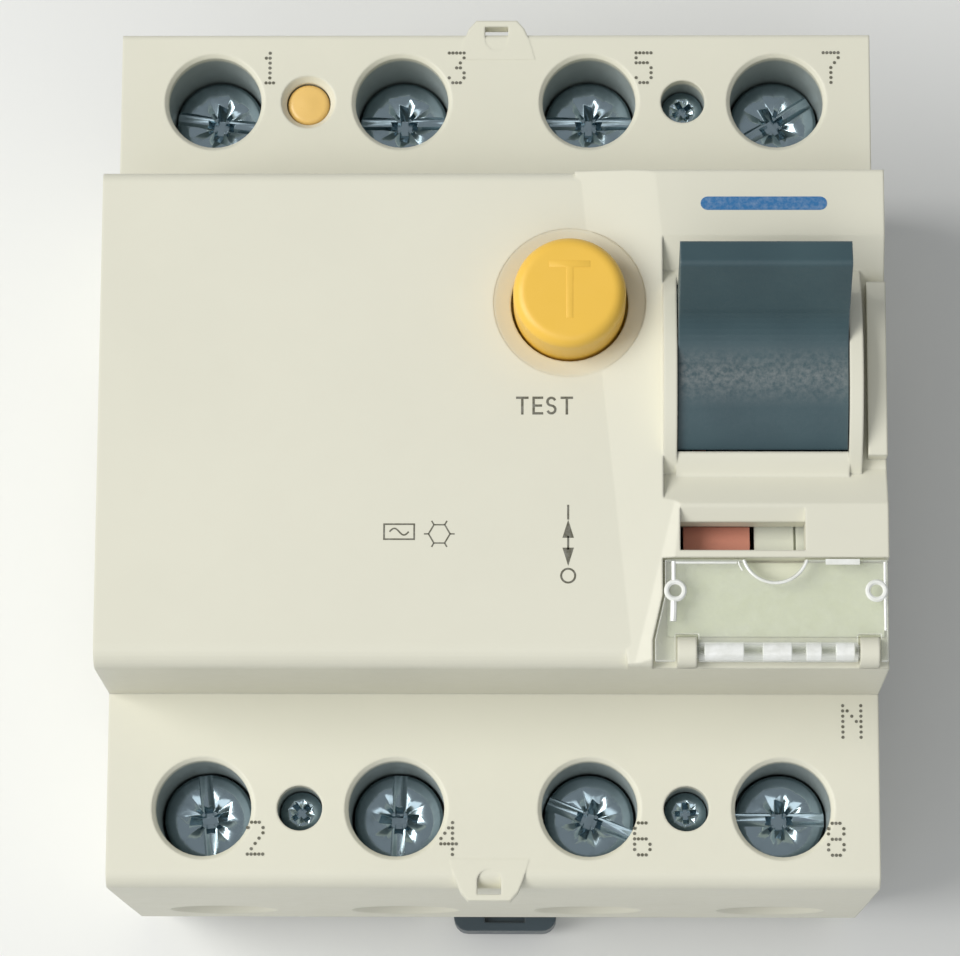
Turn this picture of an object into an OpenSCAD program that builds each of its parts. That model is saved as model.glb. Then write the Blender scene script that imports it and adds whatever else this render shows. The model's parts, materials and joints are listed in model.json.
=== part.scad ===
// Four-pole residual current device, four modules wide, for a 35 mm rail.
// It lies on its back: +Z comes out of the front face, +Y runs towards the line terminals,
// +X is to the right seen from the front. The origin is the middle of the rail seat.

/* [Housing] */
// Width across the four modules
body_w = 70; // [70:0.1:70.4]
// Height along the terminals' direction, at the shoulders
// Height of the raised front section that fits the 45 mm panel cut-out
front_h = 45; // [44.4:0.1:45]
// Shoulder level above the rail seat
shoulder_z = 44; // [43.6:0.1:44.4]
// Front face level above the rail seat
face_z = 60; // [59.8:0.1:60.4]
// How far the feet reach behind the rail seat
foot_depth = 5.5; // [5.3:0.1:5.8]
// Level of the joint between base and front cover
seam_z = 24; // [23.9:0.1:24.2]
// Wall thickness of base and cover
wall = 1.8; // [1.6:0.1:2]

/* [Terminals] */
// Distance between neighbouring poles
pole_pitch = 17.5; // [17.5:0.1:17.6]
// Distance of the line terminals' screws from the rail centre line
line_y = 33.5; // [33.3:0.1:33.6]
// Distance of the load terminals' screws from the rail centre line
load_y = 33; // [32.9:0.1:33.2]
// Diameter of each screw well
well_d = 8.7; // [8.5:0.1:8.8]
// Diameter of each terminal screw's head
head_d = 8.3; // [8:0.1:8.3]
// Diameter of each wire entry
entry_d = 8.6; // [8.4:0.1:8.6]

/* [Operation] */
// Tilt of the toggle from the face's normal when switched on
toggle_tilt = 22.3; // [22:0.1:22.4]
// Radius of the toggle's drum
drum_r = 12; // [11.9:0.05:12]
// Distance of the toggle's tip from its axis
toggle_r = 21.3; // [20:0.1:21.4]
// Diameter of the test button
button_d = 10; // [9.9:0.05:10.1]
// Opening angle of the moving contacts
contact_angle = 20; // [16:1:20]

/* [Hidden] */

$fn = 64;
eps = 0.05;
half_w = body_w / 2;
front_y = front_h / 2;
in_x = half_w - wall;
partition_in = 23.6;
partition_out = 25.2;
chamber_end = 37;
chamber_half = 7.2;
chamber_floor = 9;
poles = [for (i = [-1.5:1:1.5]) i * pole_pitch];
screw_xs = [-pole_pitch, pole_pitch];
row_y = [line_y, -load_y];

// Left field of the face lies a little lower than the right field
left_z = face_z - 0.7;
inner_top = face_z - 3;

// Toggle axis, parallel to X
pivot = [4.25, 50];
pin_r = 1.5;
toggle_x = [16.5, 31.5];
lever_half = 2;
crank_r = 4.5;
crank_pin_r = 1;
// Contact carrier axis, parallel to X
carrier = [4, 24.6];
carrier_crank_r = 9.8;
// Axis of the trip bar and of the position flag, parallel to X
trip_axis = [-12.5, 46];
flag_r = 10.6;

// Relay plunger, parallel to Y
plunger = [10.7, 49.3];

// Current bars
bar_z = 20.5;
bar_t = 1.5;
bar_half = 3;
tip_y = 15.5;

// Recess around the toggle, and the label pocket
recess_x0 = 15.2;
button = [6.9, 10.35];
recess_floor = 58.2;
pocket_floor = 58;
hinge = [-21.2, 59.2];
clip_x = [-4.5, 5.7];
clip_mid = (clip_x[0] + clip_x[1]) / 2;

housing_col = [0.88, 0.87, 0.80];
steel_col = [0.72, 0.74, 0.76];
copper_col = [0.80, 0.48, 0.32];
dark_col = [0.17, 0.22, 0.27];

// Points of an arc from angle a0 to a1
function arc(c, r, a0, a1, n = 8) =
  [for (i = [0:n]) [c[0] + r * cos(a0 + (a1 - a0) * i / n), c[1] + r * sin(a0 + (a1 - a0) * i / n)]];

// Extrudes an outline drawn in (y, z) along X
module along_x(x0, x1) {
  translate([x0, 0, 0]) rotate([90, 0, 90]) linear_extrude(x1 - x0) children();
}

// Extrudes an outline drawn in (x, z) along Y
module along_y(y0, y1) {
  translate([0, y1, 0]) rotate([90, 0, 0]) linear_extrude(y1 - y0) children();
}

// Box from its lowest to its highest corner
module block(a, b) {
  translate(a) cube(b - a);
}

// Cylinder along X between two stations, centred on a point in (y, z)
module rod_x(c, r, x0, x1) {
  translate([x0, c[0], c[1]]) rotate([0, 90, 0]) cylinder(r = r, h = x1 - x0);
}

// Cylinder along Y between two stations, centred on a point in (x, z)
module rod_y(c, r, y0, y1) {
  translate([c[0], y0, c[1]]) rotate([-90, 0, 0]) cylinder(r = r, h = y1 - y0);
}

// Coil spring along Z from the origin, swept from rings of a round wire
module coil(r, wire_r, height, turns) {
  sides = 6;
  steps = turns * 12;
  rings = [for (i = [0:steps]) let (a = 30 * i, z = wire_r + (height - 2 * wire_r) * i / steps)
    for (s = [0:sides - 1]) let (b = 360 * s / sides, q = r + wire_r * cos(b))
      [q * cos(a), q * sin(a), z + wire_r * sin(b)]];
  skin(rings, sides, steps);
}

// Closes rings of points, given one after another, into a tube with flat ends
module skin(rings, sides, steps) {
  walls = [for (i = [0:steps - 1], s = [0:sides - 1], half = [0, 1])
    let (n = (s + 1) % sides, a = i * sides, b = a + sides)
    half == 0 ? [a + s, a + n, b + n] : [a + s, b + n, b + s]];
  ends = [[for (s = [sides - 1:-1:0]) s], [for (s = [0:sides - 1]) steps * sides + s]];
  polyhedron(rings, concat(walls, ends));
}

// Route of a wire: each inner corner is rounded by a short curve
function rounded(p, q) = concat([p[0]], [for (i = [1:len(p) - 2], t = [0, 0.5, 1]) let (
    a = p[i] + q * (p[i - 1] - p[i]) / norm(p[i - 1] - p[i]),
    b = p[i] + q * (p[i + 1] - p[i]) / norm(p[i + 1] - p[i]))
  (1 - t) * (1 - t) * a + 2 * t * (1 - t) * p[i] + t * t * b], [p[len(p) - 1]]);

// Wire of radius r swept along a route
module wire(route, r, sides = 8) {
  n = len(route) - 1;
  rings = [for (i = [0:n]) let (
      d = route[min(i + 1, n)] - route[max(i - 1, 0)],
      t = d / norm(d),
      u0 = cross(t, [0.31, 0.47, 0.83]),
      u = u0 / norm(u0),
      v = cross(t, u))
    for (s = [0:sides - 1]) route[i] + r * cos(360 * s / sides) * u + r * sin(360 * s / sides) * v];
  skin(rings, sides, n);
}

// ---------------------------------------------------------------- base housing

module base_outline() {
  polygon(concat(
    [[-39.4, seam_z], [-38.7, 7], [-37.6, 1.4]],
    [[-36.6, 0.4], [36.6, 0.4], [37.6, 1.4], [38.7, 7], [39.4, seam_z]]
  ));
}

module hook_block(x0, x1) {
  along_x(x0, x1) polygon([
    [17.7, 0.5], [17.7, -1.3], [15.8, -1.3], [15.8, -2.3], [17.4, -3.4], [18.4, -foot_depth],
    [22, -foot_depth], [23, 0.5]
  ]);
}

module clip_guide() {
  along_y(-36.6, -20.2) {
    for (s = [0, 1]) mirror([s, 0]) translate([s == 0 ? clip_mid : -clip_mid, 0])
      polygon([[5.25, 0.5], [5.25, -3.6], [4, -3.6], [4, -foot_depth], [8.2, -foot_depth], [9.4, 0.5]]);
  }
}

module entry_cut(x, side) {
  mirror([0, side, 0]) {
    rod_y([x, 16], entry_d / 2, chamber_end - eps, 38.2);
    translate([x, 38.2, 16]) rotate([-90, 0, 0])
      cylinder(r1 = entry_d / 2, r2 = entry_d / 2 + 1.4, h = 1.4);
  }
}

module sensor_saddle() {
  for (y = [-18.4, -12.2]) difference() {
    block([-11, y, 2 - eps], [11, y + 1.6, 14]);
    rod_y([0, 20], 14.1, y - eps, y + 1.6 + eps);
  }
}

module base_housing() {
  color(housing_col) difference() {
    union() {
      difference() {
        along_x(-half_w, half_w) base_outline();
        block([-in_x, -partition_in, 2], [in_x, partition_in, seam_z + eps]);
        for (side = [0, 1], x = poles) mirror([0, side, 0]) {
          block(
            [x - chamber_half, partition_out, chamber_floor],
            [x + chamber_half, chamber_end, seam_z + eps]
          );
          block([x - 6.4, 26.6, 0], [x + 6.4, 35, 7.2]);
          block(
            [x - bar_half - 0.3, partition_in - eps, 20.2],
            [x + bar_half + 0.3, partition_out + eps, seam_z + eps]
          );
        }
      }
      block([-half_w + 1, -15.4, 0], [half_w - 1, 15.4, 0.4 + eps]);
      for (x = [-half_w, half_w - 2.3], y = [-36.6, 17.7])
        block([x, y, -foot_depth], [x + 2.3, y + 18.9, 0.5]);
      for (x = [-23, 13]) hook_block(x, x + 10);
      clip_guide();
      block([-0.2, -35.6, -3], [1.4, -34.2, 0.5]);
      sensor_saddle();
      for (i = [0, 1], x = screw_xs) translate([x, row_y[i], 2]) cylinder(r = 2.2, h = seam_z - 2);
      for (x = poles) block([x - 2.6, 17, 2 - eps], [x + 2.6, 21, bar_z - 0.1]);
      block([-in_x - eps, 0, 2 - eps], [-31.7, 8, seam_z]);
      block([-in_x + 0.2, 0, seam_z - eps], [-31.7, 8, 28]);
      // Sockets for the mechanism plates
      for (x = [14.1, 31.3]) block([x, -1, 2 - eps], [x + 0.6, 9, 7]);
      block([16.1, -1, 2 - eps], [16.7, 9, 7]);
    }
    for (x = poles, side = [0, 1]) entry_cut(x, side);
    for (i = [0, 1], x = screw_xs) translate([x, row_y[i], 5]) cylinder(r = 1.05, h = 20);
    rod_x(carrier, 1.56, -in_x + 0.4, -31);
  }
}

// ---------------------------------------------------------------- front cover

// Side outline of the cover at the right-hand field
module cover_outline() {
  polygon(concat(
    [[39.4, seam_z], [40.1, 42]],
    arc([39.6, shoulder_z - 0.5], 0.5, 0, 90),
    [[front_y, shoulder_z]],
    arc([front_y - 0.4, face_z - 0.4], 0.4, 0, 90),
    arc([-front_y + 1.4, face_z - 1.4], 1.4, 90, 180),
    [[-front_y, shoulder_z]],
    arc([-38.5, shoulder_z - 1.6], 1.6, 90, 178),
    [[-39.4, seam_z]]
  ));
}

// What the lower left-hand field and its ramp leave away
module left_field_cut() {
  intersection() {
    along_x(-half_w - 1, 24) polygon(concat(
      [[24, left_z - 1], [front_y, left_z - 1]],
      arc([front_y - 1, left_z - 1], 1, 0, 90),
      arc([2 - front_y, left_z - 2], 2, 90, 180),
      [[-24, left_z - 2], [-24, 62], [24, 62]]
    ));
    ramp_side();
  }
}

// Everything to the left of and above the ramp between the two fields
module ramp_side() {
  top = 61;
  k = (top - left_z) / (face_z - left_z);
  foot = [[-36, 24], [7.2, 24], [12.2, -24], [-36, -24]];
  translate([0, 0, left_z - 3]) linear_extrude(3) polygon(foot);
  hull() {
    translate([0, 0, left_z - eps]) linear_extrude(eps) polygon(foot);
    translate([0, 0, top]) linear_extrude(eps)
      polygon([[-36, 24], [7.2 + 6.9 * k, 24], [12.2 + 2.6 * k, -24], [-36, -24]]);
  }
}

module shoulder_tab(side) {
  s = side > 0 ? 1 : -1;
  translate([side > 0 ? 0.1 : -0.3, 0, 42.4]) linear_extrude(shoulder_z + 0.02 - 42.4) difference() {
    polygon([
      [-3.6, s * 37.6], [3.6, s * 37.6], [3.1, s * 39.4],
      [2.6, s * 40.6], [1.9, s * 41.4], [-1.9, s * 41.4],
      [-2.6, s * 40.6], [-3.1, s * 39.4]
    ]);
    translate([0, s * 39.6]) circle(r = 1.08, $fn = 32);
    translate([0, s * 39.6 + (side > 0 ? 0.5 : -0.5)]) square([2.16, 1.4], center = true);
  }
}

// Lips and side cheeks that wrap the toggle's drum
module drum_shroud() {
  along_x(toggle_x[0] - 0.2, toggle_x[1] + 0.2) {
    polygon([
      [-6.5, inner_top], [-6.5, recess_floor], [-5.1, 58.75],
      [-3.4, 59.8], [-3.1, 59.8], [-2, inner_top]
    ]);
    polygon([
      [10.5, inner_top], [11.6, 59.8], [11.9, 59.8],
      [13.6, 58.75], [15, recess_floor], [15, inner_top]
    ]);
  }
  intersection() {
    for (x = [recess_x0, toggle_x[1] + 0.1]) rod_x(pivot, drum_r + 0.6, x, x + 1.2);
    block([recess_x0, -9, inner_top], [half_w, 18, 64]);
  }
}

module hinge_lug(x) {
  rod_x(hinge, 1.3, x, x + 1.7);
  block([x, hinge[0] - 1.2, pocket_floor - eps], [x + 1.7, hinge[0] + 1.3, hinge[1]]);
}

module pocket_outline() {
  polygon([
    [15.1, -12.9], [15.1, -16.2], [14.2, -20.2],
    [14.2, -23], [half_w + 1, -23], [half_w + 1, -12.9]
  ]);
}

module cover_shell() {
  difference() {
    along_x(-half_w, half_w) cover_outline();
    left_field_cut();
    block([-in_x, -partition_in, seam_z - eps], [in_x, partition_in, shoulder_z - wall]);
    block([-in_x, -front_y + wall, seam_z], [in_x, front_y - wall - 0.2, inner_top]);
    for (side = [0, 1], x = poles) mirror([0, side, 0]) block(
      [x - chamber_half, partition_out, seam_z - eps],
      [x + chamber_half, 38, shoulder_z - wall]
    );
    // Recess around the toggle
    along_x(recess_x0, half_w + 1) polygon([
      [16.35, face_z], [12.4, recess_floor], [-4.6, recess_floor], [-8.06, face_z], [-8.06, 62], [16.35, 62]
    ]);
    // Slope above the window
    along_x(16.65, 27.67) polygon([[-8.3, face_z + eps], [-9.57, 59.2], [-9.57, 61]]);
    block([16.65, -12.26, inner_top - eps], [27.67, -9.57, 61]);
    translate([0, 0, pocket_floor]) linear_extrude(4) pocket_outline();
    // Dished ring and bore of the test button
    translate([button.x, button.y, inner_top - eps]) cylinder(r = button_d / 2 + 0.25, h = 4);
    translate([button.x, button.y, left_z - 0.7]) cylinder(r1 = button_d / 2 + 0.25, r2 = 6.8, h = 0.7);
    translate([button.x, button.y, left_z - eps]) cylinder(r = 6.8, h = 2);
  }
}

module front_cover() {
  color(housing_col) difference() {
    union() {
      cover_shell();
      drum_shroud();
      // Outer strip beside the right-hand cheek
      block([33.3, -3.7, inner_top], [half_w, 12.1, face_z - 0.1]);
      for (x = [16.35, 32.35]) hinge_lug(x);
      for (i = [0, 1], x = poles) translate([x, row_y[i], 32.5])
        cylinder(r = well_d / 2 + 1.2, h = shoulder_z - wall - 32.5 + eps);
      for (i = [0, 1], x = screw_xs) {
        translate([x, row_y[i], seam_z]) cylinder(r = 2.2, h = 12);
        translate([x, row_y[i], 34]) cylinder(r = 2.9, h = shoulder_z - wall - 34 + eps);
      }
      for (side = [-1, 1]) shoulder_tab(side);
    }
    rod_x(pivot, drum_r + 0.4, toggle_x[0] - 0.1, toggle_x[1] + 0.1);
    for (i = [0, 1], x = poles) translate([x, row_y[i], 0]) {
      translate([0, 0, 33.9]) cylinder(d = well_d, h = 20);
      translate([0, 0, 30]) cylinder(r = 2.9, h = 10);
      translate([0, 0, shoulder_z - 0.35]) cylinder(r1 = well_d / 2, r2 = well_d / 2 + 0.4, h = 0.4);
    }
    for (i = [0, 1], x = screw_xs) translate([x, row_y[i], 0]) {
      translate([0, 0, 39.2]) cylinder(r = 2.05, h = 20);
      translate([0, 0, 20]) cylinder(r = 1.15, h = 20);
    }
    translate([screw_xs[0], row_y[0], shoulder_z - 0.7]) cylinder(r1 = 2.05, r2 = 2.6, h = 0.75);
    rod_x(hinge, 0.66, 17, 18.2);
    rod_x(hinge, 0.66, 32.2, 33.4);
  }
}

module housing_screws() {
  color(steel_col) for (i = [0, 1], x = screw_xs) translate([x, row_y[i], 0]) difference() {
    union() {
      translate([0, 0, 8]) cylinder(r = 1, h = 32, $fn = 32);
      translate([0, 0, 39.3]) cylinder(r = 1.92, h = 1.7, $fn = 48);
    }
    for (a = [40, 130]) translate([0, 0, 40.6]) rotate([0, 0, a + 25 * x / pole_pitch])
      cube([2.2, 0.55, 1.6], center = true);
  }
}

module seal_plug() {
  color([0.95, 0.70, 0.25]) translate([screw_xs[0], row_y[0], 41.2]) rotate_extrude()
    polygon(concat(
      [[0, 0], [1.5, 0], [1.98, 0.5], [1.98, 1.5]],
      arc([1.38, 1.5], 0.6, 0, 75, 6),
      [[0, 2.25]]
    ));
}

// ---------------------------------------------------------------- label and its flap

module label_card() {
  color([0.80, 0.82, 0.76]) block([15.5, -19.7, pocket_floor + 0.03], [34.6, -13.1, pocket_floor + 0.3]);
}

module flap_outline() {
  polygon([
    [15.3, -13.05], [15.3, -16.2], [14.4, -20.2], [14.4, -22.1], [16.2, -22.1], [16.2, -19.7],
    [18.2, -19.7], [18.2, -20.6], [32.2, -20.6], [32.2, -19.7], [34.2, -19.7], [34.2, -22.1],
    [34.85, -22.1], [34.85, -13.05]
  ]);
}

module label_flap() {
  color([0.86, 0.90, 0.88, 0.45]) difference() {
    union() {
      translate([0, 0, 59]) linear_extrude(0.8) flap_outline();
      rod_x(hinge, 0.85, 18.2, 32.2);
      rod_x(hinge, 0.6, 17.2, 33.2);
      block([18.2, -22.1, 59], [32.2, -21.6, 59.5]);
      block([18.2, -21.7, 59], [32.2, -20.5, 59.4]);
      for (x = [16.2, 33.85]) translate([x, -15.86, 59.8 - eps]) cylinder(r = 1, h = 0.3, $fn = 32);
      block([29.4, -13.5, 59.8 - eps], [32.4, -13.05, 60]);
    }
    translate([25, -12.25, 58.5]) cylinder(r = 2.7, h = 2);
    for (x = [16.2, 33.85]) translate([x, -15.86, 59.5]) cylinder(r = 0.55, h = 1, $fn = 32);
  }
}

// ---------------------------------------------------------------- toggle

// Concave fillet between the lever's flank and its drum, from the flank down
function lever_fillet(r) =
  let (c = [lever_half + r, sqrt(pow(drum_r + r, 2) - pow(lever_half + r, 2))])
  arc(c, r, 180, 180 + atan2(c[1], c[0]), 10);

// Lever that blends into the drum, in a wide sweep on its front
module lever_outline() {
  back = lever_fillet(2.2);
  front = lever_fillet(5);
  foot = len(back) - 1;
  polygon(concat(
    arc([1.35 - 0.5, toggle_r - 0.5], 0.5, 90, 0, 4),
    back,
    [back[foot] * 0.95],
    [for (i = [foot:-1:0]) [-front[i][0], front[i][1]] * (i == foot ? 0.99 : 1)],
    arc([-1.35 + 0.5, toggle_r - 0.5], 0.5, 180, 90, 4)
  ));
}

module drum_sector(r, half_angle) {
  intersection() {
    circle(r = r, $fn = 120);
    polygon([[0, 0], [-40 * sin(half_angle), 40 * cos(half_angle)], [-40, 40], [40, 40],
      [40 * sin(half_angle), 40 * cos(half_angle)]]);
  }
}

// Children are drawn with the lever upright and the axis at the origin
module at_pivot(x0, x1) {
  translate([0, pivot[0], pivot[1]]) rotate([-toggle_tilt, 0, 0]) along_x(x0, x1) children();
}

function crank_at(axis, r, angle) = [axis[0] + r * cos(angle), axis[1] + r * sin(angle)];
crank_pin = crank_at(pivot, crank_r, 180 - toggle_tilt);
carrier_pin = crank_at(carrier, carrier_crank_r, 180 - contact_angle / 2);

module toggle() {
  color(dark_col) difference() {
    union() {
      at_pivot(toggle_x[0], toggle_x[1]) lever_outline();
      at_pivot(toggle_x[0], toggle_x[1]) difference() {
        drum_sector(drum_r, 60.3);
        circle(r = drum_r - 1.8, $fn = 96);
      }
      at_pivot(toggle_x[0], toggle_x[0] + 1.3) union() {
        drum_sector(drum_r, 60.3);
        circle(r = 6);
      }
      at_pivot(toggle_x[1] - 1.3, toggle_x[1]) union() {
        drum_sector(drum_r, 60.3);
        circle(r = 6);
      }
      at_pivot(19.5, 20.7) circle(r = 6);
      rod_x(pivot, 2.8, toggle_x[0], 20.7);
      rod_x(pivot, 2.8, toggle_x[1] - 2.5, toggle_x[1]);
      rod_x(crank_pin, crank_pin_r, toggle_x[0] + 1, 22.6);
      // Rib that joins the crank web to the drum
      at_pivot(19.5, 20.7) polygon([[-1.2, 0], [1.2, 0], [1.2, drum_r - 1], [-1.2, drum_r - 1]]);
    }
    rod_x(pivot, pin_r + 0.06, toggle_x[0] - 1, toggle_x[1] + 1);
  }
}

module toggle_pin() {
  color(steel_col) rod_x(pivot, pin_r, 14.7, 33.1);
}

module toggle_spring() {
  color(steel_col) translate([23.9, pivot[0], pivot[1]]) rotate([0, 90, 0]) coil(2.5, 0.45, 4.8, 4);
}

// ---------------------------------------------------------------- mechanism frame

module plate_outline() {
  difference() {
    polygon([
      [-1, 2.2], [9, 2.2], [9, 30], [16, 36], [16, 56.6],
      [-14, 56.6], [-15.4, 54], [-15.4, 42], [-9, 37], [-1, 30]
    ]);
    translate(pivot) circle(r = pin_r + 0.03);
    for (c = [[12.5, 40], [-6.5, 42]]) translate(c) circle(r = 1.23, $fn = 32);
  }
}

module mechanism_plate_left() {
  color(steel_col) difference() {
    along_x(14.9, 15.9) plate_outline();
    rod_x(carrier, 4, 14, 17);
    rod_x(trip_axis, 1.56, 14, 17);
  }
}

module mechanism_plate_right() {
  color(steel_col) difference() {
    along_x(32.1, 33.1) plate_outline();
    rod_x(carrier, 1.56, 31, 34);
    rod_x(trip_axis, 1.06, 31, 34);
  }
}

module mechanism_spacers() {
  color(steel_col) for (c = [[12.5, 40], [-6.5, 42]]) {
    rod_x(c, 1.2, 14.7, 33.1);
    rod_x(c, 1.8, 16, 32);
  }
}

module link_plate() {
  d = carrier_pin - crank_pin;
  color(steel_col) difference() {
    union() {
      rod_x(crank_pin, 2.1, 21, 22.2);
      rod_x(carrier_pin, 2.5, 21, 22.2);
      translate([0, crank_pin[0], crank_pin[1]]) rotate([atan2(d[1], d[0]), 0, 0])
        block([21, 0, -1.2], [22.2, norm(d), 1.2]);
    }
    rod_x(crank_pin, crank_pin_r + 0.06, 20, 23);
    rod_x(carrier_pin, crank_pin_r + 0.4, 20, 23);
  }
}

// ---------------------------------------------------------------- contacts and current path

module contact_carrier() {
  color([0.30, 0.30, 0.32]) difference() {
    union() {
      rod_x(carrier, 3.2, -31.4, 31.6);
      rod_x(carrier, pin_r, -32.6, 33);
      for (x = poles) along_x(x - 2.9, x + 2.9) polygon([
        [carrier[0] - 3.4, carrier[1] - 2], [carrier[0] + 5, carrier[1] - 1.6],
        [carrier[0] + 5, carrier[1] + 2.6], [carrier[0] - 3.4, carrier[1] + 2.6]
      ]);
      rod_x(carrier_pin, 1.9, 22.6, 23.2);
      rod_x(carrier_pin, crank_pin_r, 20.3, 23.2);
      translate([0, carrier[0], carrier[1]]) rotate([180 - contact_angle / 2, 0, 0])
        block([22.6, 0, -1.6], [23.2, carrier_crank_r, 1.6]);
    }
    for (x = poles) block([x - 2.1, carrier[0] - 6, 23.9], [x + 2.1, carrier[0] + 6, 25.9]);
  }
}

module moving_contacts() {
  for (x = poles) {
    color(copper_col) block([x - 2, -1, 24], [x + 2, 17.6, 25.2]);
    color(steel_col) translate([x, tip_y, 23.1]) cylinder(r = 1.8, h = 0.9, $fn = 32);
  }
}

module contact_springs() {
  color(steel_col) for (x = poles) block([x - 1.6, 1, 25.3], [x + 1.6, 12.5, 25.6]);
}

module flexible_braids() {
  color(copper_col) for (x = poles) wire(rounded([
    [x, -3.7, 24.6], [x, -3.1, 24.4], [x, -2.4, 23.6], [x, -1.7, 24.4], [x, -1.1, 24.6]
  ], 0.3), 0.5);
}

module line_bars() {
  color(copper_col) for (x = poles) block([x - bar_half, 13, bar_z], [x + bar_half, 36.8, bar_z + bar_t]);
}

module fixed_contacts() {
  color(steel_col) for (x = poles) translate([x, tip_y, bar_z + bar_t]) cylinder(r = 2, h = 0.95, $fn = 32);
}

module load_bars() {
  color(copper_col) for (x = poles)
    block([x - bar_half, -36.8, bar_z], [x + bar_half, -23.9, bar_z + bar_t]);
}

// Each outer conductor dips under its neighbour before it enters the sensor
module primary_conductors() {
  color(copper_col) for (s = [-1, 1]) {
    outer = s * 1.5 * pole_pitch;
    inner = s * 0.5 * pole_pitch;
    core = s * 2.1;
    wire(rounded([[outer, -22.6, 21.2], [outer, -21.2, 17.8], [core, -21.2, 17.8], [core, -7.9, 17.8],
      [outer, -7.9, 17.8], [outer, -6.4, 24.6], [outer, -3.9, 24.6]], 1.2), 1.25);
    wire(rounded([[inner, -22.6, 21.2], [core, -21.2, 22.2], [core, -7.9, 22.2], [inner, -6.4, 24.6],
      [inner, -3.9, 24.6]], 1.2), 1.25);
  }
}

// ---------------------------------------------------------------- summation current sensor

// Children are drawn as (radius, y) and turned about the sensor's axis
module about_sensor() {
  translate([0, 0, 20]) rotate([-90, 0, 0]) rotate_extrude() children();
}

module sensor_case() {
  color([0.16, 0.17, 0.19]) about_sensor() difference() {
    translate([6.5, -19.5]) square([7.5, 10]);
    translate([7.3, -18.7]) square([5.9, 8.4]);
  }
}

module sensor_winding() {
  color(copper_col) about_sensor() difference() {
    translate([7.4, -18.6]) square([5.7, 8.2]);
    translate([8.4, -17.6]) square([3.7, 6.2]);
  }
}

module sensor_core() {
  color([0.45, 0.45, 0.47]) about_sensor() translate([8.5, -17.5]) square([3.5, 6]);
}

// ---------------------------------------------------------------- inner chassis, relay, test circuit

module inner_chassis() {
  color([0.25, 0.26, 0.28]) difference() {
    union() {
      block([-32.9, -20.2, 36], [14.5, 20.2, 37.6]);
      for (c = [[-31.2, -18.4], [-31.2, 18.6], [13.2, 18.6]])
        translate([c[0], c[1], 2.1]) cylinder(r = 1.2, h = 34, $fn = 32);
      block([5.4, 12.8, 37.5], [8.4, 14.4, 48]);
      block([4, 5.6, 47.2], [9.8, 14.4, 48.4]);
    }
    translate([button.x, button.y, 40]) cylinder(r = 1.7, h = 10, $fn = 32);
    for (c = [[-22, -12], [-22, 12], [4, 2]])
      translate([c[0], c[1], 30]) cylinder(r = 2.5, h = 10, $fn = 32);
  }
}

module relay_case() {
  color([0.20, 0.30, 0.34]) difference() {
    block([-11, -7.2, 37.7], [13.7, 4.6, 52.2]);
    block([-10, -6.2, 38.7], [12.7, 3.6, 51.2]);
    rod_y(plunger, 1.3, -8, -6);
  }
}

module relay_coil() {
  color(copper_col) translate([-3, -1.2, 45.3]) rotate([0, 90, 0]) difference() {
    cylinder(r = 4.6, h = 9, center = true);
    cylinder(r = 1.8, h = 10, center = true);
  }
}

module relay_plunger() {
  color(steel_col) {
    rod_y(plunger, 1.2, -8.8, -2);
    rod_y(plunger, 0.5, -10.6, -8.7);
    rod_y(plunger, 1.7, -4.9, -3.7);
  }
}

// Sector of a ring about the trip axis, between two angles from +Z towards +Y
module flag_sector(r0, r1, a0, a1) {
  polygon(concat(
    arc(trip_axis, r1, 90 - a0, 90 - a1, 10),
    arc(trip_axis, r0, 90 - a1, 90 - a0, 10)
  ));
}

module trip_bar() {
  color([0.86, 0.88, 0.86]) {
    rod_x(trip_axis, 1.5, 9.4, 31.9);
    rod_x(trip_axis, 1, 31, 33);
    along_x(9.9, 11.5) polygon([[-13.4, 46], [-11.6, 46], [-10.7, 48.5], [-10.7, 52], [-12.3, 52]]);
    along_x(23.3, 26.8) flag_sector(9, 10.2, -2, 31);
    along_x(26.7, 28.4) flag_sector(9, 9.7, -2, 31);
    along_x(27, 28.4) flag_sector(9, 10.4, -2, 31);
    along_x(24.6, 26.2) flag_sector(0.5, 9.4, 6, 20);
  }
}

module position_flag() {
  color([0.72, 0.22, 0.20]) difference() {
    union() {
      along_x(17, 22.9) flag_sector(flag_r - 1.2, flag_r, 1.6, 16.8);
      along_x(18.1, 19.2) flag_sector(1, flag_r - 0.6, -10, 16.8);
      rod_x(trip_axis, 2.8, 18.1, 19.2);
      intersection() {
        along_x(18.1, 19.2)
          polygon([[-13, 45], [-11, 43.4], [3, 50.4], [3, 55], [-0.6, 53.8], [-12.5, 48.6]]);
        rod_x(trip_axis, 14.2, 18, 20);
      }
    }
    rod_x(trip_axis, 1.58, 17, 24);
    // Slot in which the toggle's crank pin travels
    translate([0, trip_axis[0], trip_axis[1]])
      rotate([atan2(crank_pin[1] - trip_axis[1], crank_pin[0] - trip_axis[0]), 0, 0])
        block([17, 10.6, -1.3], [20, 18, 1.3]);
  }
}

module position_flag_off_cap() {
  color([0.25, 0.55, 0.35]) along_x(17, 22.9) difference() {
    flag_sector(flag_r - 1.2, flag_r, -13.4, 1.5);
    flag_sector(flag_r - 1.3, flag_r - 0.55, -10.3, 1.6);
  }
}

module test_button() {
  r = button_d / 2;
  color([0.98, 0.76, 0.28]) translate([button.x, button.y, 0]) {
    rotate_extrude() polygon(concat(
      [[0, 50], [1.5, 50], [1.5, 54.4], [6.2, 54.4], [6.2, 56.9], [r, 56.9], [r, 62.6]],
      arc([r - 1.1, 62.6], 1.1, 0, 90, 8),
      [[0, 63.7]]
    ));
    translate([0, 0, 46.6]) cylinder(r = 1.5, h = 4, $fn = 32);
  }
}

module test_button_spring() {
  color(steel_col) translate([button.x, button.y, 48.4]) coil(2.4, 0.35, 5.9, 4);
}

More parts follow.
